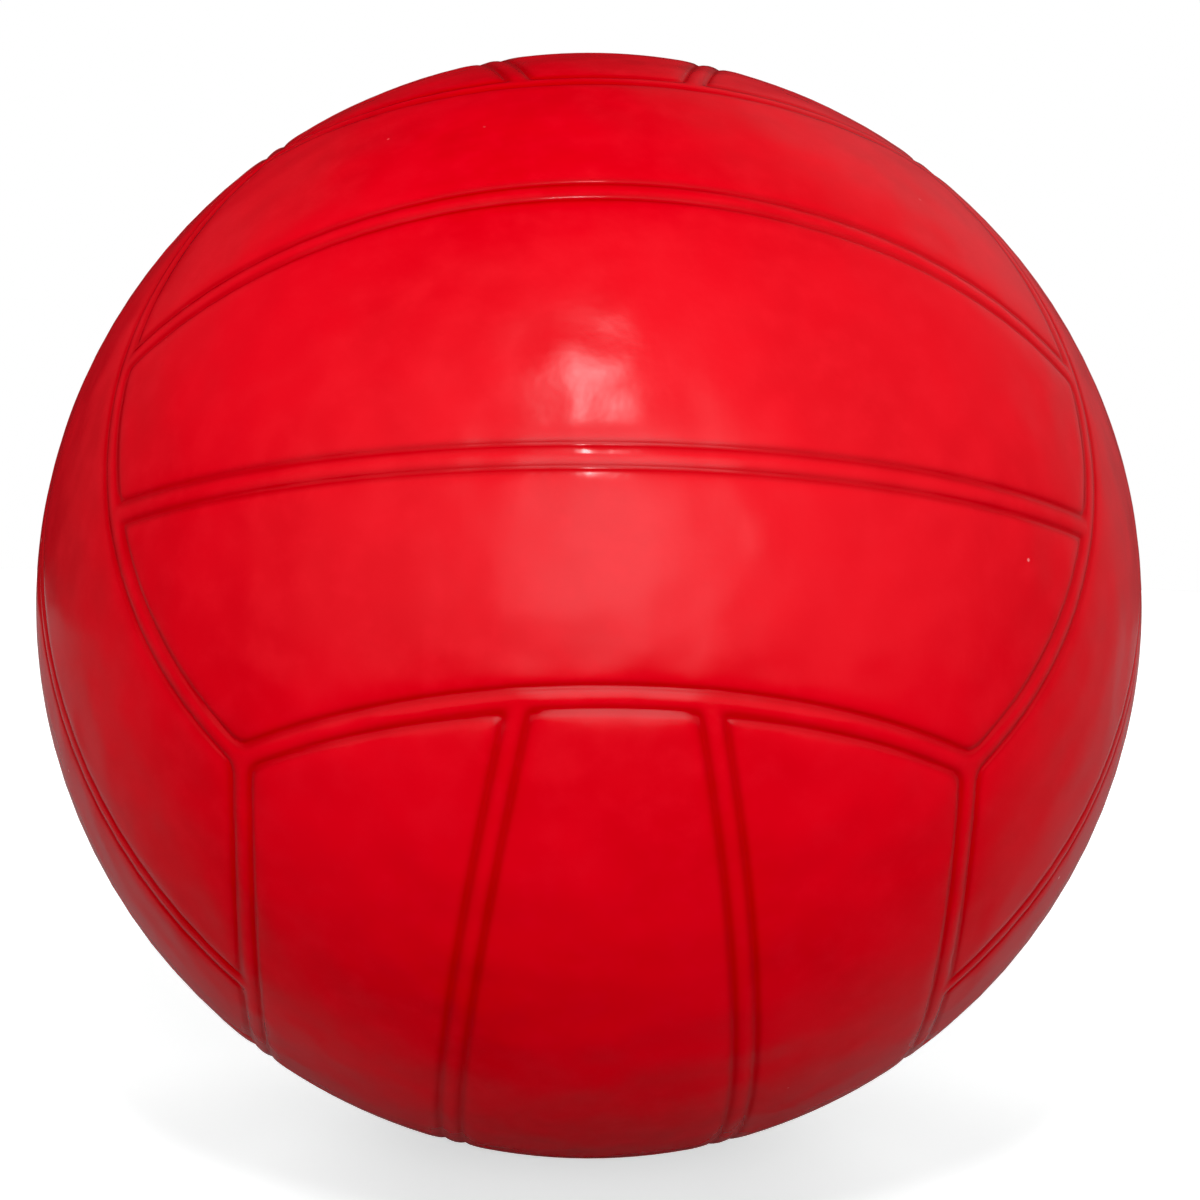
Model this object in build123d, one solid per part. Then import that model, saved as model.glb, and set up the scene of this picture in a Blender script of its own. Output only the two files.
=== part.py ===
"""Playground rubber ball: a moulded rubber cover on a wound carcass and an air bladder with a needle valve.

Millimetres, +Z up, origin at the ball's centre.  The valve lies on the +X axis.
The cover shows eighteen panels in six groups of three, and one long seam crosses the -Y axis.
"""
from build123d import *
from math import acos, asin, atan, cos, degrees, radians, sin, sqrt
import os

# ---- ball and wall layers, from the outside in ----
BALL_RADIUS = 215.9 / 2
COVER_WALL = 1.5
CARCASS_WALL = 0.4
WINDING_WALL = 0.3
BLADDER_WALL = 0.5

# ---- panel pattern ----
PATTERN_ROLL = degrees(atan(sqrt(2)))   # roll about X that brings the middle of a long seam onto -Y
EDGE_LATITUDE = degrees(asin(1 / sqrt(3)))  # a group's long sides lie on circles at this latitude
STRIP_ANGLE = 14.1                      # inner seams stand this far either side of a group's middle

# ---- seam section: a shallow channel with a rounded bead along its middle ----
CHANNEL_HALF_WIDTH = 4.5
CHANNEL_DEPTH = 0.75
INNER_CHANNEL_DEPTH = 0.70              # inner seams are a little shallower than the long ones
BEAD_HALF_WIDTH = 2.5
BEAD_EDGE_DEPTH = 0.56
BEAD_TOP_DEPTH = 0.05
INNER_BEAD_TOP_DEPTH = 0.08
BEAD_ROOT_DEPTH = 1.2
CUTTER_HEIGHT = 1.5
CUTTER_SPREAD = 1.3                     # a cutter's arc runs on past the surface to this many half widths

# ---- seam ends: three long seams meet in a dish with a domed button in it ----
DISH_RADIUS = 6.0
DISH_DEPTH = 0.9
BUTTON_RADIUS = 3.4
BUTTON_EDGE_DEPTH = 0.56
BUTTON_TOP_DEPTH = 0.02
CHANNEL_STOP = 1.0                      # how far short of the seams' meeting point a channel ends
BEAD_STOP = 0.4

# ---- valve, on the +X axis ----
VALVE_HOLE_RADIUS = 5.0                 # hole through every wall layer
VALVE_RING_RADIUS = 9.0                 # moulded ring round the valve
VALVE_RING_HALF_WIDTH = 1.0
VALVE_RING_DEPTH = 0.35
NECK_RADIUS = 4.9
NECK_RECESS = 0.7                       # the housing's mouth sits this far under the ball's surface
PATCH_RADIUS = 22.0
PATCH_WALL = 0.8
FLANGE_RADIUS = 14.0
FLANGE_WALL = 1.4
BARREL_RADIUS = 6.2
BARREL_LENGTH = 18.0                    # from the housing's mouth to its inner end
INNER_CHAMFER = 1.2
AIR_HOLE_RADIUS = 1.2

CORE_HEAD_RADIUS = 3.4
CORE_HEAD_THICKNESS = 1.2
CORE_SHANK_RADIUS = 2.4
CORE_LENGTH = 14.0
CORE_TIP_LENGTH = 2.0
CORE_TIP_RADIUS = 1.5
CORE_CLEARANCE = 0.05                   # radial, all round the removable core
NEEDLE_HOLE_RADIUS = 1.05
NEEDLE_HOLE_DEPTH = 9.0
NEEDLE_LEAD_IN = 0.5

# ---- radii and stations that follow ----
CARCASS_OUTER = BALL_RADIUS - COVER_WALL
WINDING_OUTER = CARCASS_OUTER - CARCASS_WALL
BLADDER_OUTER = WINDING_OUTER - WINDING_WALL
BLADDER_INNER = BLADDER_OUTER - BLADDER_WALL
PATCH_INNER = BLADDER_INNER - PATCH_WALL
FLANGE_INNER = PATCH_INNER - FLANGE_WALL
MOUTH_X = BALL_RADIUS - NECK_RECESS

CENTRE = Vector(0, 0, 0)
VALVE_AXIS = Axis.X


# ---------------------------------------------------------------- seams
def surface_point(latitude, along_arc, height):
    """Point in a seam's section plane: along_arc mm from the seam, height mm off the ball's surface."""
    angle = radians(latitude) + along_arc / BALL_RADIUS
    radius = BALL_RADIUS + height
    return (radius * cos(angle), radius * sin(angle))


def section_face(latitude, half_width, edge_height, middle_height, closing_height):
    """Face between a circular arc across the seam and a straight closing edge at closing_height."""
    start = surface_point(latitude, -half_width, edge_height)
    middle = surface_point(latitude, 0, middle_height)
    end = surface_point(latitude, half_width, edge_height)
    far_end = surface_point(latitude, half_width, closing_height)
    far_start = surface_point(latitude, -half_width, closing_height)
    outline = [
        ThreePointArc(start, middle, end),
        Line(end, far_end),
        Line(far_end, far_start),
        Line(far_start, start),
    ]
    return make_face(outline)


def groove_face(latitude, half_width, depth):
    """Section of a cutter whose arc crosses the ball's surface half_width either side of the seam."""
    edge_height = depth * (CUTTER_SPREAD**2 - 1)
    return section_face(latitude, half_width * CUTTER_SPREAD, edge_height, -depth, CUTTER_HEIGHT)


def bead_face(latitude, top_depth):
    return section_face(latitude, BEAD_HALF_WIDTH, -BEAD_EDGE_DEPTH, -top_depth, -BEAD_ROOT_DEPTH)


def sweep_round(face, pole, middle, half_sweep):
    """Turn a section face about the pole, half_sweep degrees either side of the middle direction."""
    start = middle.rotate(Axis(CENTRE, pole), -half_sweep)
    section_plane = Plane(origin=CENTRE, x_dir=start, z_dir=start.cross(pole))
    return revolve(section_plane * face, axis=Axis(CENTRE, pole), revolution_arc=2 * half_sweep)


def panel_groups():
    """Facing direction and side direction of each group's two halves, twelve pairs in all."""
    roll = Axis(CENTRE, (1, 0, 0))
    a, b, c = (Vector(*v).rotate(roll, PATTERN_ROLL) for v in ((1, 0, 0), (0, 1, 0), (0, 0, 1)))
    for facing, side in ((c, b), (a, c), (b, a)):
        for facing_sign in (1, -1):
            for side_sign in (1, -1):
                yield facing * facing_sign, side * side_sign


def long_seams(face, stop):
    """Twelve seams along the groups' long sides, each ending stop mm short of two corners."""
    half_sweep = 45 - degrees(stop / (BALL_RADIUS * cos(radians(EDGE_LATITUDE))))
    return [sweep_round(face, side, facing, half_sweep) for facing, side in panel_groups()]


def inner_seams(face, stop):
    """Twelve seams inside the groups, each ending stop mm short of the two long seams that it meets."""
    strip = radians(STRIP_ANGLE)
    half_sweep = degrees(acos(sin(radians(EDGE_LATITUDE)) / cos(strip)) - stop / BALL_RADIUS)
    solids = []
    for facing, side in panel_groups():
        pole = side * cos(strip) - facing * sin(strip)
        middle = facing * cos(strip) + side * sin(strip)
        solids.append(sweep_round(face, pole, middle, half_sweep))
    return solids


def corner_spheres(radius, edge_height, middle_height):
    """Spheres on the eight corner directions that cross edge_height at radius and peak at middle_height."""
    rise = abs(edge_height - middle_height)
    sphere_radius = (radius**2 + rise**2) / (2 * rise)
    outward = 1 if middle_height < edge_height else -1
    distance = BALL_RADIUS + middle_height + outward * sphere_radius
    corners = {
        tuple((facing + side + facing.cross(side) * sign).normalized())
        for facing, side in list(panel_groups())[:4]
        for sign in (1, -1)
    }
    return [Plane(Vector(*corner) * distance, z_dir=corner) * Sphere(sphere_radius) for corner in sorted(corners)]


# ---------------------------------------------------------------- wall layers
def valve_hole():
    """Cylinder that opens every layer for the valve."""
    return Plane.YZ * Cylinder(VALVE_HOLE_RADIUS, 2 * BALL_RADIUS, align=(Align.CENTER, Align.CENTER, Align.MIN))


def valve_ring():
    """Shallow moulded ring round the valve hole, turned about the valve's axis."""
    latitude = 90 - degrees(VALVE_RING_RADIUS / BALL_RADIUS)
    face = groove_face(latitude, VALVE_RING_HALF_WIDTH, VALVE_RING_DEPTH)
    return revolve(Plane(origin=CENTRE, x_dir=(0, 0, 1), z_dir=(0, 1, 0)) * face, axis=VALVE_AXIS)


def make_cover():
    """One-piece moulded cover: channels cut, beads added, then hollowed and opened for the valve."""
    cover = Sphere(BALL_RADIUS)
    cutters = corner_spheres(DISH_RADIUS, 0, -DISH_DEPTH)
    cutters += long_seams(groove_face(EDGE_LATITUDE, CHANNEL_HALF_WIDTH, CHANNEL_DEPTH), CHANNEL_STOP)
    cutters += inner_seams(groove_face(0, CHANNEL_HALF_WIDTH, INNER_CHANNEL_DEPTH), CHANNEL_STOP)
    for cutter in cutters:
        cover -= cutter
    beads = corner_spheres(BUTTON_RADIUS, -BUTTON_EDGE_DEPTH, -BUTTON_TOP_DEPTH)
    beads += long_seams(bead_face(EDGE_LATITUDE, BEAD_TOP_DEPTH), BEAD_STOP)
    beads += inner_seams(bead_face(0, INNER_BEAD_TOP_DEPTH), BEAD_STOP)
    for bead in beads:
        cover += bead
    return cover - Sphere(CARCASS_OUTER) - valve_ring() - valve_hole()


def on_sphere(radius, off_axis):
    """Point (x, off_axis) of the half section where a sphere passes off_axis mm from the valve's axis."""
    return Vector(sqrt(radius**2 - off_axis**2), off_axis)


def sphere_arc(radius, start_off_axis, end_off_axis):
    """Arc of a sphere's half section near the valve, between two distances from the valve's axis."""
    start = on_sphere(radius, start_off_axis)
    end = on_sphere(radius, end_off_axis)
    return ThreePointArc(start, (start + end).normalized() * radius, end)


def make_layer(outer, wall):
    """Spherical layer with the valve hole, turned about the valve's axis."""
    inner = outer - wall
    outline = [
        ThreePointArc(on_sphere(outer, VALVE_HOLE_RADIUS), (0, outer), (-outer, 0)),
        Line((-outer, 0), (-inner, 0)),
        ThreePointArc((-inner, 0), (0, inner), on_sphere(inner, VALVE_HOLE_RADIUS)),
        Line(on_sphere(inner, VALVE_HOLE_RADIUS), on_sphere(outer, VALVE_HOLE_RADIUS)),
    ]
    return revolve(make_face(outline), axis=VALVE_AXIS)


# ---------------------------------------------------------------- valve
def make_valve_patch():
    """Reinforcing disc that follows the bladder's inner face round the valve hole."""
    outline = [
        sphere_arc(BLADDER_INNER, VALVE_HOLE_RADIUS, PATCH_RADIUS),
        Line(on_sphere(BLADDER_INNER, PATCH_RADIUS), on_sphere(PATCH_INNER, PATCH_RADIUS)),
        sphere_arc(PATCH_INNER, PATCH_RADIUS, VALVE_HOLE_RADIUS),
        Line(on_sphere(PATCH_INNER, VALVE_HOLE_RADIUS), on_sphere(BLADDER_INNER, VALVE_HOLE_RADIUS)),
    ]
    return revolve(make_face(outline), axis=VALVE_AXIS)


def make_valve_housing():
    """Flanged rubber boss with a stepped bore for the core."""
    inner_x = MOUTH_X - BARREL_LENGTH
    seat_x = MOUTH_X - CORE_HEAD_THICKNESS
    bore_end_x = MOUTH_X - CORE_LENGTH - CORE_CLEARANCE
    seat_radius = CORE_HEAD_RADIUS + CORE_CLEARANCE
    bore_radius = CORE_SHANK_RADIUS + CORE_CLEARANCE
    barrel = Polyline(
        (inner_x, AIR_HOLE_RADIUS),
        (inner_x, BARREL_RADIUS - INNER_CHAMFER),
        (inner_x + INNER_CHAMFER, BARREL_RADIUS),
        on_sphere(FLANGE_INNER, BARREL_RADIUS),
    )
    flange_rim = Line(on_sphere(FLANGE_INNER, FLANGE_RADIUS), on_sphere(PATCH_INNER, FLANGE_RADIUS))
    neck_and_bore = Polyline(
        on_sphere(PATCH_INNER, NECK_RADIUS),
        (MOUTH_X, NECK_RADIUS),
        (MOUTH_X, seat_radius),
        (seat_x, seat_radius),
        (seat_x, bore_radius),
        (bore_end_x, bore_radius),
        (bore_end_x, AIR_HOLE_RADIUS),
        (inner_x, AIR_HOLE_RADIUS),
    )
    outline = [
        barrel,
        sphere_arc(FLANGE_INNER, BARREL_RADIUS, FLANGE_RADIUS),
        flange_rim,
        sphere_arc(PATCH_INNER, FLANGE_RADIUS, NECK_RADIUS),
        neck_and_bore,
    ]
    return revolve(make_face(outline), axis=VALVE_AXIS)


def make_valve_core():
    """Self-sealing plug, pulled out along +X, with a blind needle hole."""
    seat_x = MOUTH_X - CORE_HEAD_THICKNESS
    tip_x = MOUTH_X - CORE_LENGTH
    hole_end_x = MOUTH_X - NEEDLE_HOLE_DEPTH
    outline = Polyline(
        (tip_x, 0),
        (tip_x, CORE_TIP_RADIUS),
        (tip_x + CORE_TIP_LENGTH, CORE_SHANK_RADIUS),
        (seat_x, CORE_SHANK_RADIUS),
        (seat_x, CORE_HEAD_RADIUS),
        (MOUTH_X, CORE_HEAD_RADIUS),
        (MOUTH_X, NEEDLE_HOLE_RADIUS + NEEDLE_LEAD_IN),
        (MOUTH_X - NEEDLE_LEAD_IN, NEEDLE_HOLE_RADIUS),
        (hole_end_x, NEEDLE_HOLE_RADIUS),
        (hole_end_x, 0),
        close=True,
    )
    return revolve(make_face(outline), axis=VALVE_AXIS)


PARTS = {
    "cover": make_cover(),
    "carcass_ply": make_layer(CARCASS_OUTER, CARCASS_WALL),
    "nylon_winding": make_layer(WINDING_OUTER, WINDING_WALL),
    "bladder": make_layer(BLADDER_OUTER, BLADDER_WALL),
    "valve_patch": make_valve_patch(),
    "valve_housing": make_valve_housing(),
    "valve_core": make_valve_core(),
}

os.makedirs("parts", exist_ok=True)
for node, solid in PARTS.items():
    export_step(solid, f"parts/{node}.step")
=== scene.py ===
"""Playground rubber ball: the moulded cover as one fine mesh with its seams, materials for every piece,
a pale floor, soft light and the camera.

Lengths are in metres.  The ball's centre is the origin, the valve is on +X and +Z is up.
"""
import math

import bmesh
import bpy
import numpy as np
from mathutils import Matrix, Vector


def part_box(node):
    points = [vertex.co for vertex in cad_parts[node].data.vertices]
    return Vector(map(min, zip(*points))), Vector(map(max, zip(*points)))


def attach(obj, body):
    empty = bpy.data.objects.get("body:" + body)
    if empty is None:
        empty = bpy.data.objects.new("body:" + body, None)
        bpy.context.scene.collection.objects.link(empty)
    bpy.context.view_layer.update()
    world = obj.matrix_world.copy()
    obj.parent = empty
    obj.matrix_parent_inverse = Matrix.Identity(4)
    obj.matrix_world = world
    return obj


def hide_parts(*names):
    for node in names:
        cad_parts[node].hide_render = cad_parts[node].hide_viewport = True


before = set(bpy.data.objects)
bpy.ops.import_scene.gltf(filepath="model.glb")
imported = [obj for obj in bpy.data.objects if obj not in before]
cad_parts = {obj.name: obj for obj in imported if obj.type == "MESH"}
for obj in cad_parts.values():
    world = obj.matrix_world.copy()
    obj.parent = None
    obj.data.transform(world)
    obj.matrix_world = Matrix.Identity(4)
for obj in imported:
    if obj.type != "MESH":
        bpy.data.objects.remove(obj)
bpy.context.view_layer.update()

MM = 0.001

# ---- sizes read from the frame ----
RADIUS = -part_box("cover")[0].x               # the plain panel opposite the valve
INNER_RADIUS = -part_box("carcass_ply")[0].x   # the cover lies on the carcass ply
FLOOR_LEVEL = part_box("cover")[0].z

# ---- panel pattern: six groups of three panels ----
PATTERN_ROLL = math.atan(math.sqrt(2))       # about X, brings the middle of a long seam onto -Y
EDGE_LATITUDE = math.asin(1 / math.sqrt(3))  # long seams lie on circles at this latitude
STRIP_ANGLE = math.radians(14.1)             # inner seams stand this far from a group's middle
LONG_HALF_SWEEP = math.radians(45)
INNER_END_GAP = 1.6 * MM / RADIUS            # inner seams stop short, so that a long seam runs straight on
INNER_HALF_SWEEP = math.acos(math.sin(EDGE_LATITUDE) / math.cos(STRIP_ANGLE)) - INNER_END_GAP

# ---- seam section, by distance from the seam's middle ----
BEAD_TOP_DEPTH = 0.05 * MM
BEAD_SLOPE = 0.15                            # the bead's two flanks fall away from a rounded top
BEAD_ROUNDING = 0.5 * MM
GROOVE_AT = 2.0 * MM
GROOVE_HALF_WIDTH = 0.5 * MM
GROOVE_DEPTH = 0.16 * MM                     # below the foot of the bead
GROOVE_SHADE_WIDTH = 1.1 * MM                # how far the painted shade in the grooves spreads
SEAM_HALF_WIDTH = 6.0 * MM
PANEL_EDGE_POWER = 2.3                       # the panels' edges fall away ever faster towards the groove
CORNER_BLEND = 0.6 * MM                      # how softly seams run into each other
LEAST_TOTAL = 1e-30                          # keeps the logarithm of the blend finite far from every seam

# ---- valve opening ----
VALVE_HOLE_RADIUS = 5.0 * MM
VALVE_LIP = 0.4 * MM                         # rounded edge of the opening
VALVE_RING_RADIUS = 9.0 * MM
VALVE_RING_HALF_WIDTH = 1.0 * MM
VALVE_RING_DEPTH = 0.35 * MM

# ---- mesh ----
# cells across half a middle panel, an inner seam, an outer panel and half a long seam
OUTER_CELLS = (6, 30, 9, 15)
INNER_CELLS = (6, 2, 4, 1)                   # the same for the plain inner face
VALVE_BLOCK = 5                              # grid cells either side of the valve that the rings replace
VALVE_LOOP_POINTS = 8 * VALVE_BLOCK          # points round that square block
VALVE_RINGS_MM = (5.0, 5.03, 5.12, 5.25, 5.4, 6.2, 7.1, 8.0, 8.3, 8.65, 9.0, 9.35, 9.7, 10.0, 11.2)
WELD_DISTANCE = 1e-5                         # of the radius
GRID_PASSES = 60                             # enough for the grid's latitudes and longitudes to settle
SLOPE_STEP = 0.04 * MM                       # the outer face's slope is measured over this much either way
POLE_ZONE = 0.9                              # nearer the poles, directions are taken from X instead of Z

# ---- levels of a noise between which it counts, from nothing to all ----
CLOUD_LEVELS = (0.35, 0.65)
SHEEN_LEVELS = (0.3, 0.7)
MOTTLE_LEVELS = (0.4, 0.75)
CLUSTER_LEVELS = (0.60, 0.63)

# ---- red rubber of the cover ----
CLOUD_SIZE = 38 * MM
MOTTLE_SIZE = 5.5 * MM
WAVE_SIZE = 9 * MM
WAVE_DEPTH = 0.55 * MM
PEEL_SIZE = 2.2 * MM
PEEL_DEPTH = 0.03 * MM
SPECK_SPACING = 9 * MM
SPECK_SIZE = (0.03, 0.05)                    # shares of the spacing where a speck starts to fade and ends
SPECK_CLUSTER = 24 * MM                      # specks show in scattered clusters about this wide
RED_DARK = (0.52, 0.004, 0.009)
RED_LIGHT = (0.57, 0.005, 0.011)
RED_MOTTLE = (0.59, 0.007, 0.014)
MOTTLE_STRENGTH = 0.5
# painted shade: a darker red mixed into the grooves, where shade falls in the recess
GROOVE_SHADE_RED = (0.31, 0.002, 0.004)
GROOVE_SHADE_STRENGTH = 0.6
SPECK_PINK = (0.80, 0.28, 0.28)
SPECK_STRENGTH = 0.55
PANEL_ROUGHNESS = (0.235, 0.268)
SEAM_SMOOTHER_BY = 0.10                      # less roughness than the panels
SEAM_SMOOTH_FROM = 0.4                       # closeness to a seam at which it is fully smoother
RED_SPECULAR = 0.17
RUBBER_IOR = 1.45

# ---- other rubbers: dark tone, light tone, least roughness, most roughness, grain size ----
RUBBERS = {
    "carcass_rubber": ((0.26, 0.13, 0.06), (0.36, 0.19, 0.09), 0.60, 0.75, 1.1 * MM),
    "butyl_rubber": ((0.016, 0.016, 0.018), (0.035, 0.035, 0.038), 0.40, 0.55, 1.4 * MM),
    "valve_rubber": ((0.42, 0.004, 0.009), (0.50, 0.006, 0.012), 0.36, 0.50, 0.7 * MM),
    "valve_core_rubber": ((0.02, 0.02, 0.022), (0.05, 0.05, 0.052), 0.35, 0.50, 0.6 * MM),
}
RUBBER_CLOUD_SIZE = 11 * MM
RUBBER_GRAIN_DEPTH = 0.05 * MM

# ---- nylon thread ----
THREAD_TURNS = ((0.3, 0.2, 0.9), (1.2, 0.7, 0.1), (0.6, 1.3, 2.0))  # rotations of the three sets of threads
THREAD_SCALE = 320
THREAD_DISTORTION = 1.5
THREAD_DEPTH = 0.15 * MM
THREAD_DARK = (0.50, 0.44, 0.33)
THREAD_LIGHT = (0.80, 0.77, 0.69)
THREAD_ROUGHNESS = (0.42, 0.7)

# ---- floor ----
FLOOR_RADIUS = 0.9
FLOOR_SIDES = 96
FLOOR_CLOUD_SIZE = 0.4
FLOOR_ROUGHNESS = 0.8
FLOOR_SPECULAR = 0.1
PALE_FLOOR = (0.88, 0.90)                    # darkest and lightest grey of the floor that the camera sees
PALE_FLOOR_GLOW = 0.55
BOUNCE_FLOOR = (0.22, 0.26)                  # the same for the floor that only the ball's light meets

# ---- light: places are azimuth and elevation in degrees and distance from the ball's centre ----
KEY_PLACE = (-3.4, 50, 1.3)
KEY_SIZE = (0.055, 0.27)
KEY_POWER = 4.6
REAR_PLACES = {"rear_right": (145, 28, 1.6), "rear_left": (-145, 28, 1.6)}
REAR_SIZE = (0.9, 0.9)
REAR_POWER = 9
DARK_STUDIO = 0.03                           # light from everywhere, under the glows
GLOWS = (                                    # azimuth, elevation and radius in degrees, strength
    (3, 27, 31, 2.7),
    (1, 12, 27, 2.3),
    (5, 8, 100, 1.1),
    (-80, 10, 75, 0.22),
    (115, 25, 60, 0.3),
)
BLACK_POINT = 0.0095

# ---- camera ----
CAMERA_AZIMUTH = -2.4
CAMERA_ELEVATION = 8.0
CAMERA_ROLL = math.radians(1.1)
CAMERA_DISTANCE = 5.45 * RADIUS
OUTLINE_SHARE = 553 / 600                    # the ball's outline against half of the frame
AIM_RIGHT = 0.0197 * RADIUS                  # the camera looks a little right of the ball's centre
AIM_UP = 0.0099 * RADIUS                     # and a little above it


# ---------------------------------------------------------------- pattern
def unit(v):
    """Rows of v scaled to length 1."""
    return v / np.linalg.norm(v, axis=1)[:, None]


def pattern_axes():
    """The pattern's three axes in the ball's frame."""
    c = math.cos(PATTERN_ROLL)
    s = math.sin(PATTERN_ROLL)
    return np.array([1.0, 0, 0]), np.array([0, c, s]), np.array([0, -s, c])


def panel_groups():
    """(facing, side, along) of the six groups: strips run along, stacked towards side."""
    a, b, c = pattern_axes()
    groups = []
    for facing, side, along in ((c, b, a), (a, c, b), (b, a, c)):
        groups += [(facing, side, along), (-facing, side, along)]
    return groups


def seam_arcs():
    """(pole, middle, along, latitude, half sweep) of the twelve long and twelve inner seams."""
    arcs = []
    for facing, side_axis, along in panel_groups():
        for side in (side_axis, -side_axis):
            arcs.append((side, facing, along, EDGE_LATITUDE, LONG_HALF_SWEEP))
            pole = side * math.cos(STRIP_ANGLE) - facing * math.sin(STRIP_ANGLE)
            middle = facing * math.cos(STRIP_ANGLE) + side * math.sin(STRIP_ANGLE)
            arcs.append((pole, middle, along, 0.0, INNER_HALF_SWEEP))
    return arcs


def distance_to_arc(p, arc):
    """Distance over the ball from unit vectors p to one seam's middle line."""
    pole, middle, along, latitude, half_sweep = arc
    longitude = np.clip(np.arctan2(p @ along, p @ middle), -half_sweep, half_sweep)
    level = math.cos(latitude)
    nearest = (
        level * np.cos(longitude)[:, None] * middle
        + level * np.sin(longitude)[:, None] * along
        + math.sin(latitude) * pole
    )
    chord = np.linalg.norm(p - nearest, axis=1)
    return 2 * RADIUS * np.arcsin(np.clip(chord / 2, 0, 1))


def seam_distance(p):
    """Distance to the seam network, with the seams blended where they meet."""
    total = sum(np.exp(-distance_to_arc(p, arc) / CORNER_BLEND) for arc in seam_arcs())
    return np.maximum(-CORNER_BLEND * np.log(np.maximum(total, LEAST_TOTAL)), 0)


# ---------------------------------------------------------------- outer face
def raised_cosine(share):
    """0 at share 0, 1 at share 1, level at both ends."""
    return (1 - np.cos(np.pi * np.clip(share, 0, 1))) / 2


def bead_depth(distance):
    """Depth of the bead between the grooves."""
    return BEAD_TOP_DEPTH + BEAD_SLOPE * (np.hypot(distance, BEAD_ROUNDING) - BEAD_ROUNDING)


def seam_height(distance):
    """Ridged bead, then a narrow groove, then the panel's long soft edge."""
    edge_share = np.clip((distance - GROOVE_AT) / (SEAM_HALF_WIDTH - GROOVE_AT), 0, 1)
    edge = bead_depth(GROOVE_AT) * (1 - edge_share) ** PANEL_EDGE_POWER
    groove = GROOVE_DEPTH * np.exp(-(((distance - GROOVE_AT) / GROOVE_HALF_WIDTH) ** 2))
    return -np.where(distance < GROOVE_AT, bead_depth(distance), edge) - groove


def valve_height(p):
    """Moulded ring round the valve, cut in, and the rounded edge of its opening."""
    off_axis = RADIUS * np.hypot(p[:, 1], p[:, 2])
    off_axis = np.where(p[:, 0] > 0, off_axis, RADIUS)
    ring_share = np.abs(off_axis - VALVE_RING_RADIUS) / VALVE_RING_HALF_WIDTH
    ring = -VALVE_RING_DEPTH * (1 - raised_cosine(ring_share))
    inward = np.clip(VALVE_LIP - (off_axis - VALVE_HOLE_RADIUS), 0, VALVE_LIP)
    return ring - (VALVE_LIP - np.sqrt(VALVE_LIP**2 - inward**2))


def surface_height(p):
    """Height of the cover's outer face over the plain ball at unit vectors p."""
    return seam_height(seam_distance(p)) + valve_height(p)


def surface_normals(p, height):
    """Normals of the outer face, from the slope of its height in two directions."""
    step = SLOPE_STEP / RADIUS
    up = np.where(np.abs(p[:, 2:]) < POLE_ZONE, np.array([[0, 0, 1.0]]), np.array([[1.0, 0, 0]]))
    first = unit(np.cross(up, p))
    second = np.cross(p, first)
    normals = p * (RADIUS + height)[:, None]
    for direction in (first, second):
        ahead = surface_height(unit(p + step * direction))
        behind = surface_height(unit(p - step * direction))
        normals -= ((ahead - behind) / (2 * step))[:, None] * direction
    return unit(normals)


# ---------------------------------------------------------------- grid over the ball
def grid_lines(middle_cells, seam_cells, outer_cells, edge_cells):
    """Grid lines across a group as (share of the inner seam's latitude, added latitude), side to side."""
    seam = SEAM_HALF_WIDTH / RADIUS
    edge = EDGE_LATITUDE - seam
    half = [(f, -f * seam) for f in np.linspace(0, 1, middle_cells + 1)]
    half += [(1, f * seam) for f in np.linspace(-1, 1, seam_cells + 1)[1:]]
    half += [(1 - f, (1 - f) * seam + f * edge) for f in np.linspace(0, 1, outer_cells + 1)[1:]]
    half += [(0, edge + f * seam) for f in np.linspace(0, 1, edge_cells + 1)[1:]]
    half = np.array(half)
    return np.concatenate([-half[:0:-1], half])


def strip_latitude(lines, longitude):
    """Latitude of grid lines at a longitude, following the inner seams' great circles."""
    inner = np.arctan(math.tan(STRIP_ANGLE) * np.cos(longitude))
    return lines[:, 0] * inner + lines[:, 1]


def group_end(latitude):
    """Longitude where a group ends, at its neighbour's long seam."""
    return np.arccos(math.sin(EDGE_LATITUDE) / np.cos(latitude))


def group_grid(lines):
    """Latitude and longitude of every grid point of one group. Neighbouring groups' points coincide."""
    end_latitude = strip_latitude(lines, group_end(0.0))
    for _ in range(GRID_PASSES):
        end_latitude = strip_latitude(lines, group_end(end_latitude))
    along_seam = np.arcsin(np.clip(np.sin(end_latitude) / math.cos(EDGE_LATITUDE), -1, 1))
    shares = along_seam / LONG_HALF_SWEEP
    across = np.repeat(lines, len(shares), axis=0)
    share = np.tile(shares, len(lines))
    longitude = share * group_end(0.0)
    for _ in range(GRID_PASSES):
        latitude = strip_latitude(across, longitude)
        longitude = share * group_end(latitude)
    return latitude, longitude


def square_loop(size, half):
    """Grid indices round the square block of cells about a size x size grid's middle."""
    middle = size // 2
    low = middle - half
    high = middle + half
    loop = [(low, j) for j in range(low, high)]
    loop += [(i, high) for i in range(low, high)]
    loop += [(high, j) for j in range(high, low, -1)]
    loop += [(i, low) for i in range(high, low, -1)]
    return [i * size + j for i, j in loop]


def add_valve_rings(vectors, quads, loop, rings_mm):
    """Fills the gap round the valve, inside a loop of points, with rings of quads down to the opening."""
    angles = np.arctan2(vectors[loop, 2], vectors[loop, 1])
    for radius_mm in sorted(rings_mm, reverse=True):
        off_axis = radius_mm * MM / RADIUS
        across = off_axis * np.stack([np.cos(angles), np.sin(angles)], axis=1)
        ring = np.column_stack([np.full(len(loop), math.sqrt(1 - off_axis**2)), across])
        inner_loop = list(range(len(vectors), len(vectors) + len(loop)))
        vectors = np.concatenate([vectors, ring])
        for k in range(len(loop)):
            quads.append([loop[k - 1], loop[k], inner_loop[k], inner_loop[k - 1]])
        loop = inner_loop
    return vectors, quads


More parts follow.
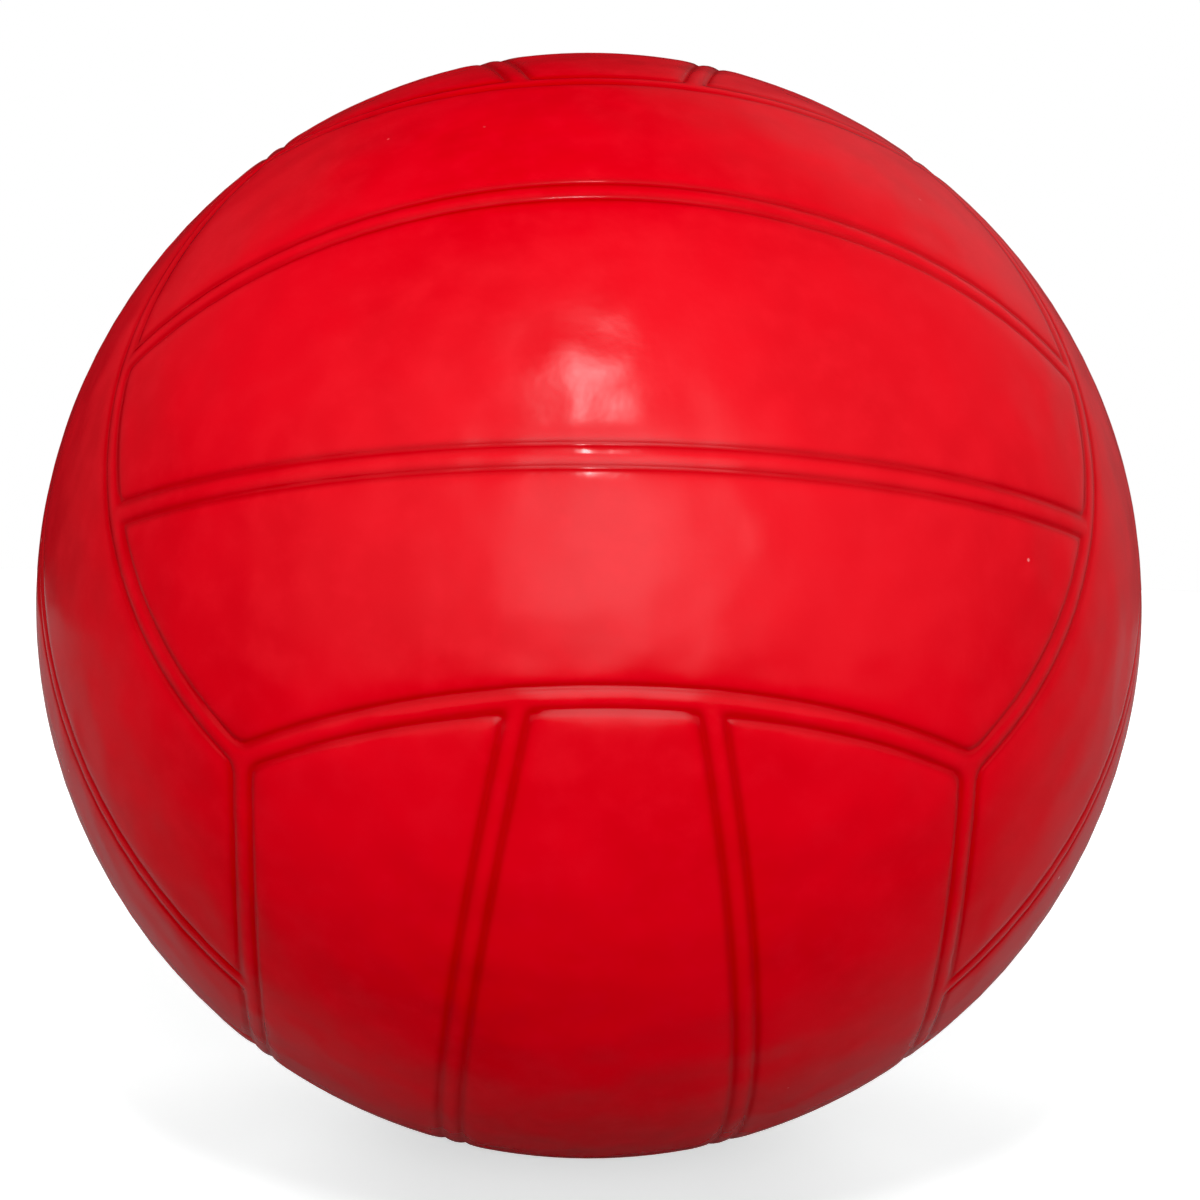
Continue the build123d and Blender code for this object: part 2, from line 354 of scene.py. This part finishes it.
def ball_skin(lines, rings_mm):
    """Unit vectors and quads of the whole ball, open at the valve."""
    latitude, longitude = group_grid(lines)
    size = len(lines)
    valve_cells = range(size // 2 - VALVE_BLOCK, size // 2 + VALVE_BLOCK)
    vectors = []
    quads = []
    valve_loop = []
    for number, (facing, side, along) in enumerate(panel_groups()):
        first = number * size * size
        vectors.append(
            (np.cos(latitude) * np.cos(longitude))[:, None] * facing
            + np.sin(latitude)[:, None] * side
            + (np.cos(latitude) * np.sin(longitude))[:, None] * along
        )
        faces_valve = facing[0] > 0.5
        if faces_valve:
            valve_loop = [first + k for k in square_loop(size, VALVE_BLOCK)]
        for i in range(size - 1):
            for j in range(size - 1):
                if not (faces_valve and i in valve_cells and j in valve_cells):
                    at = first + i * size + j
                    quads.append([at, at + 1, at + size + 1, at + size])
    return add_valve_rings(np.concatenate(vectors), quads, valve_loop, rings_mm)


def weld(vectors, quads):
    """Joins the points that neighbouring groups share, drops unused ones and turns every face outwards."""
    work = bmesh.new()
    points = [work.verts.new(v) for v in vectors]
    for quad in quads:
        work.faces.new([points[k] for k in quad])
    bmesh.ops.remove_doubles(work, verts=work.verts, dist=WELD_DISTANCE)
    unused = [v for v in work.verts if not v.link_faces]
    bmesh.ops.delete(work, geom=unused, context="VERTS")
    work.verts.index_update()
    vectors = unit(np.array([v.co for v in work.verts]))
    quads = np.array([[v.index for v in f.verts] for f in work.faces])
    work.free()
    corners = vectors[quads]
    facing = np.cross(corners[:, 2] - corners[:, 0], corners[:, 3] - corners[:, 1])
    inward = np.einsum("ij,ij->i", facing, corners[:, 0]) < 0
    quads[inward] = quads[inward][:, ::-1]
    return vectors, quads


def opening_ring(vectors):
    """The points round the valve's opening, in order of their angle."""
    off_axis = np.where(vectors[:, 0] > 0, np.hypot(vectors[:, 1], vectors[:, 2]), 1)
    ring = np.argsort(off_axis)[:VALVE_LOOP_POINTS]
    return ring[np.argsort(np.arctan2(vectors[ring, 2], vectors[ring, 1]))]


def store(mesh, name, values):
    """Keeps one number per point of the mesh, for its material to read."""
    mesh.attributes.new(name, "FLOAT", "POINT").data.foreach_set("value", values)


def make_cover():
    """Outer face with seams, plain inner face and the wall of the valve opening, as one closed mesh."""
    outer, outer_quads = weld(*ball_skin(grid_lines(*OUTER_CELLS), VALVE_RINGS_MM))
    inner, inner_quads = weld(*ball_skin(grid_lines(*INNER_CELLS), VALVE_RINGS_MM[:1]))
    height = surface_height(outer)
    points = np.concatenate([outer * (RADIUS + height)[:, None], inner * INNER_RADIUS])
    normals = np.concatenate([surface_normals(outer, height), -inner])
    outer_rim = opening_ring(outer)
    inner_rim = opening_ring(inner) + len(outer)
    wall = np.stack([outer_rim, np.roll(outer_rim, -1), np.roll(inner_rim, -1), inner_rim], axis=1)
    faces = np.concatenate([outer_quads, inner_quads[:, ::-1] + len(outer), wall])

    mesh = bpy.data.meshes.new("cover_skin")
    mesh.from_pydata(points.tolist(), [], faces.tolist())
    mesh.polygons.foreach_set("use_smooth", [True] * len(faces))
    distance = np.full(len(points), RADIUS)  # the inner face counts as far from every seam
    distance[: len(outer)] = seam_distance(outer)
    store(mesh, "seam", 1 - raised_cosine(distance / SEAM_HALF_WIDTH))
    # closeness to a groove, which drives the painted shade in the grooves
    store(mesh, "groove", np.exp(-(((distance - GROOVE_AT) / GROOVE_SHADE_WIDTH) ** 2)))
    mesh.normals_split_custom_set_from_vertices(normals.tolist())

    skin = bpy.data.objects.new("cover_skin", mesh)
    bpy.context.scene.collection.objects.link(skin)
    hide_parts("cover")
    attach(skin, "ball")
    return skin


# ---------------------------------------------------------------- materials
class Material:
    """A Principled material with short helpers for its procedural nodes."""

    def __init__(self, name):
        self.material = bpy.data.materials.new(name)
        self.material.use_nodes = True
        self.nodes = self.material.node_tree.nodes
        self.links = self.material.node_tree.links
        self.shader = self.nodes["Principled BSDF"]
        self.place = self.nodes.new("ShaderNodeTexCoord").outputs["Object"]

    def set(self, **values):
        """Sets the shader's own sockets, named with underscores for spaces."""
        for name, value in values.items():
            self.shader.inputs[name.replace("_", " ")].default_value = value

    def link(self, source, target):
        """Joins two sockets."""
        self.links.new(source, target)

    def drive(self, socket_name, value):
        """Feeds a value into one of the shader's sockets."""
        self.link(value, self.shader.inputs[socket_name])

    def attribute(self, name):
        """A number stored on the mesh's points."""
        node = self.nodes.new("ShaderNodeAttribute")
        node.attribute_name = name
        return node.outputs["Fac"]

    def noise(self, size, detail=2.0, roughness=0.5):
        """Noise whose features are about size metres across."""
        node = self.nodes.new("ShaderNodeTexNoise")
        node.inputs["Scale"].default_value = 1 / size
        node.inputs["Detail"].default_value = detail
        node.inputs["Roughness"].default_value = roughness
        self.link(self.place, node.inputs["Vector"])
        return node.outputs["Fac"]

    def spots(self, size):
        """Distance from scattered points about size metres apart."""
        node = self.nodes.new("ShaderNodeTexVoronoi")
        node.inputs["Scale"].default_value = 1 / size
        self.link(self.place, node.inputs["Vector"])
        return node.outputs["Distance"]

    def between(self, value, low, high, to_low, to_high):
        """Maps value from low..high onto to_low..to_high, smoothly and clamped."""
        node = self.nodes.new("ShaderNodeMapRange")
        node.interpolation_type = "SMOOTHSTEP"
        node.inputs["From Min"].default_value = low
        node.inputs["From Max"].default_value = high
        node.inputs["To Min"].default_value = to_low
        node.inputs["To Max"].default_value = to_high
        self.link(value, node.inputs["Value"])
        return node.outputs["Result"]

    def math(self, operation, first, second):
        """Result of one operation on two sockets."""
        node = self.nodes.new("ShaderNodeMath")
        node.operation = operation
        self.link(first, node.inputs[0])
        self.link(second, node.inputs[1])
        return node.outputs["Value"]

    def mix(self, factor, first, second):
        """Mix of two colours, each a socket or an RGB triple."""
        node = self.nodes.new("ShaderNodeMix")
        node.data_type = "RGBA"
        self.link(factor, node.inputs["Factor"])
        colour_inputs = [socket for socket in node.inputs if socket.type == "RGBA"]
        for socket, value in zip(colour_inputs, (first, second)):
            if isinstance(value, tuple):
                socket.default_value = (*value, 1)
            else:
                self.link(value, socket)
        return next(socket for socket in node.outputs if socket.type == "RGBA")

    def bump(self, *layers):
        """Bumps from (height socket, depth in metres) layers, chained into the shader's normal."""
        normal = None
        for height, depth in layers:
            node = self.nodes.new("ShaderNodeBump")
            node.inputs["Distance"].default_value = depth
            self.link(height, node.inputs["Height"])
            if normal is not None:
                self.link(normal, node.inputs["Normal"])
            normal = node.outputs["Normal"]
        self.link(normal, self.shader.inputs["Normal"])


def red_rubber():
    """Glossy red rubber: clouded colour, painted shade darkening the grooves, smoother seams, soft waves
    and rare specks.
    """
    m = Material("red_rubber")
    cloud = m.noise(CLOUD_SIZE, detail=3)
    mottle = m.noise(MOTTLE_SIZE, detail=4, roughness=0.6)
    wave = m.noise(WAVE_SIZE, detail=0)
    peel = m.noise(PEEL_SIZE, detail=1)
    tone = m.mix(m.between(cloud, *CLOUD_LEVELS, 0, 1), RED_DARK, RED_LIGHT)
    tone = m.mix(m.between(mottle, *MOTTLE_LEVELS, 0, MOTTLE_STRENGTH), tone, RED_MOTTLE)
    speck = m.between(m.spots(SPECK_SPACING), *SPECK_SIZE, 1, 0)
    cluster = m.between(m.noise(SPECK_CLUSTER, detail=1), *CLUSTER_LEVELS, 0, SPECK_STRENGTH)
    tone = m.mix(m.math("MULTIPLY", speck, cluster), tone, SPECK_PINK)
    # painted shade: the grooves' colour is darkened to stand in for the shade that falls in them
    tone = m.mix(m.between(m.attribute("groove"), 0, 1, 0, GROOVE_SHADE_STRENGTH), tone, GROOVE_SHADE_RED)
    m.drive("Base Color", tone)
    panel_rough = m.between(mottle, *SHEEN_LEVELS, *PANEL_ROUGHNESS)
    smoother = m.between(m.attribute("seam"), 0, SEAM_SMOOTH_FROM, 0, SEAM_SMOOTHER_BY)
    m.drive("Roughness", m.math("SUBTRACT", panel_rough, smoother))
    m.bump((wave, WAVE_DEPTH), (peel, PEEL_DEPTH))
    m.set(Specular_IOR_Level=RED_SPECULAR, IOR=RUBBER_IOR)
    return m.material


def plain_rubber(name, dark, light, low_rough, high_rough, grain_size):
    """Rubber with a clouded tone, uneven sheen and a fine grain."""
    m = Material(name)
    cloud = m.noise(RUBBER_CLOUD_SIZE, detail=3)
    grain = m.noise(grain_size, detail=3)
    m.drive("Base Color", m.mix(m.between(cloud, *CLOUD_LEVELS, 0, 1), dark, light))
    m.drive("Roughness", m.between(cloud, *SHEEN_LEVELS, low_rough, high_rough))
    m.bump((grain, RUBBER_GRAIN_DEPTH))
    return m.material


def nylon_thread():
    """Thread wound in many directions and set in latex: three crossing sets of fine bands."""
    m = Material("nylon_thread")
    heights = []
    for turn in THREAD_TURNS:
        spin = m.nodes.new("ShaderNodeMapping")
        spin.inputs["Rotation"].default_value = turn
        m.link(m.place, spin.inputs["Vector"])
        band = m.nodes.new("ShaderNodeTexWave")
        band.inputs["Scale"].default_value = THREAD_SCALE
        band.inputs["Distortion"].default_value = THREAD_DISTORTION
        band.inputs["Detail"].default_value = 2
        m.link(spin.outputs["Vector"], band.inputs["Vector"])
        heights.append(band.outputs["Fac"])
    wound = m.math("MAXIMUM", m.math("MAXIMUM", heights[0], heights[1]), heights[2])
    m.drive("Base Color", m.mix(wound, THREAD_DARK, THREAD_LIGHT))
    m.drive("Roughness", m.between(wound, 0, 1, *THREAD_ROUGHNESS))
    m.bump((wound, THREAD_DEPTH))
    return m.material


def dress_nodes(skin):
    """Gives the cover and every CAD node its material."""
    rubber = {name: plain_rubber(name, *look) for name, look in RUBBERS.items()}
    finishes = {
        "cover": red_rubber(),
        "carcass_ply": rubber["carcass_rubber"],
        "nylon_winding": nylon_thread(),
        "bladder": rubber["butyl_rubber"],
        "valve_patch": rubber["butyl_rubber"],
        "valve_housing": rubber["valve_rubber"],
        "valve_core": rubber["valve_core_rubber"],
    }
    for node, material in finishes.items():
        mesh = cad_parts[node].data
        mesh.materials.clear()
        mesh.materials.append(material)
    skin.data.materials.append(finishes["cover"])


# ---------------------------------------------------------------- floor
def round_floor(name, greys):
    """A plain round floor under the ball, clouded between two greys, and its material."""
    work = bmesh.new()
    bmesh.ops.create_circle(work, cap_ends=True, segments=FLOOR_SIDES, radius=FLOOR_RADIUS)
    bmesh.ops.translate(work, verts=work.verts, vec=(0, 0, FLOOR_LEVEL))
    mesh = bpy.data.meshes.new(name)
    work.to_mesh(mesh)
    work.free()
    floor = bpy.data.objects.new(name, mesh)
    bpy.context.scene.collection.objects.link(floor)
    floor.visible_shadow = False
    dark, light = greys
    m = Material(name)
    m.drive("Base Color", m.mix(m.noise(FLOOR_CLOUD_SIZE, detail=2), (dark,) * 3, (light,) * 3))
    m.set(Roughness=FLOOR_ROUGHNESS, Specular_IOR_Level=FLOOR_SPECULAR)
    mesh.materials.append(m.material)
    return floor, m


def make_floor():
    """Pale floor for the picture, and a darker one that only the ball's light and reflections meet.

    Light from the pale one would wash out the ball's lower half and its rims.
    """
    pale, pale_material = round_floor("pale_floor", PALE_FLOOR)
    pale.visible_diffuse = False
    pale.visible_glossy = False
    pale_material.set(Emission_Color=(1, 1, 1, 1), Emission_Strength=PALE_FLOOR_GLOW)
    bounce, _ = round_floor("bounce_floor", BOUNCE_FLOOR)
    bounce.visible_camera = False


# ---------------------------------------------------------------- light and camera
def around(azimuth, elevation, distance):
    """Point round the ball: azimuth 0 is in front, on -Y, and 90 is on +X."""
    a = math.radians(azimuth)
    e = math.radians(elevation)
    return Vector((math.sin(a) * math.cos(e), -math.cos(a) * math.cos(e), math.sin(e))) * distance


def aim(thing, place, target=Vector()):
    """Puts a light or the camera at place, looking at target."""
    thing.location = place
    thing.rotation_euler = (target - place).to_track_quat("-Z", "Y").to_euler()


def area_light(name, place, size, power):
    """Oval soft light that faces the ball."""
    light = bpy.data.lights.new(name, "AREA")
    light.shape = "ELLIPSE"
    light.size, light.size_y = size
    light.energy = power
    thing = bpy.data.objects.new(name, light)
    bpy.context.scene.collection.objects.link(thing)
    aim(thing, around(*place))
    return thing


def make_light():
    """A small key above the camera for the sharp highlight, and two panels behind, without a reflection."""
    area_light("key", KEY_PLACE, KEY_SIZE, KEY_POWER)
    for name, place in REAR_PLACES.items():
        area_light(name, place, REAR_SIZE, REAR_POWER).visible_glossy = False


def make_studio():
    """White for the camera. For the ball, dark all round with soft glows in front and at the sides."""
    world = bpy.data.worlds.new("studio")
    world.use_nodes = True
    nodes = world.node_tree.nodes
    links = world.node_tree.links
    direction = nodes.new("ShaderNodeTexCoord").outputs["Generated"]
    total = nodes.new("ShaderNodeValue").outputs["Value"]
    total.default_value = DARK_STUDIO
    for azimuth, elevation, radius, strength in GLOWS:
        towards = nodes.new("ShaderNodeVectorMath")
        towards.operation = "DOT_PRODUCT"
        towards.inputs[1].default_value = around(azimuth, elevation, 1)
        links.new(direction, towards.inputs[0])
        glow = nodes.new("ShaderNodeMapRange")
        glow.interpolation_type = "SMOOTHSTEP"
        glow.inputs["From Min"].default_value = math.cos(math.radians(radius))
        glow.inputs["From Max"].default_value = 1.0
        glow.inputs["To Max"].default_value = strength
        links.new(towards.outputs["Value"], glow.inputs["Value"])
        add = nodes.new("ShaderNodeMath")
        links.new(total, add.inputs[0])
        links.new(glow.outputs["Result"], add.inputs[1])
        total = add.outputs["Value"]
    seen = nodes.new("ShaderNodeMix")
    seen.inputs["B"].default_value = 1.0
    links.new(nodes.new("ShaderNodeLightPath").outputs["Is Camera Ray"], seen.inputs["Factor"])
    links.new(total, seen.inputs["A"])
    links.new(seen.outputs["Result"], nodes["Background"].inputs["Strength"])
    nodes["Background"].inputs["Color"].default_value = (1, 1, 1, 1)
    bpy.context.scene.world = world


def grade_picture():
    """Plain display colours with a slightly raised black point, as in a crisp product picture."""
    view = bpy.context.scene.view_settings
    view.view_transform = "Standard"
    view.use_curve_mapping = True
    view.curve_mapping.black_level = (BLACK_POINT,) * 3
    view.curve_mapping.update()


def roll(camera):
    """Turns the camera about its own line of sight."""
    turned = camera.rotation_euler.copy()
    turned.rotate_axis("Z", CAMERA_ROLL)
    camera.rotation_euler = turned


def make_camera():
    """Camera in front of the ball, whose outline fills OUTLINE_SHARE of the frame."""
    data = bpy.data.cameras.new("camera")
    outline_slope = 1 / math.sqrt((CAMERA_DISTANCE / RADIUS) ** 2 - 1)
    data.angle = 2 * math.atan(outline_slope / OUTLINE_SHARE)
    camera = bpy.data.objects.new("camera", data)
    bpy.context.scene.collection.objects.link(camera)
    place = around(CAMERA_AZIMUTH, CAMERA_ELEVATION, CAMERA_DISTANCE)
    aim(camera, place)
    roll(camera)
    off_centre = camera.rotation_euler.to_matrix() @ Vector((AIM_RIGHT, AIM_UP, 0))
    aim(camera, place, off_centre)
    roll(camera)
    bpy.context.scene.camera = camera


cover_skin = make_cover()
dress_nodes(cover_skin)
make_floor()
make_light()
make_studio()
grade_picture()
make_camera()
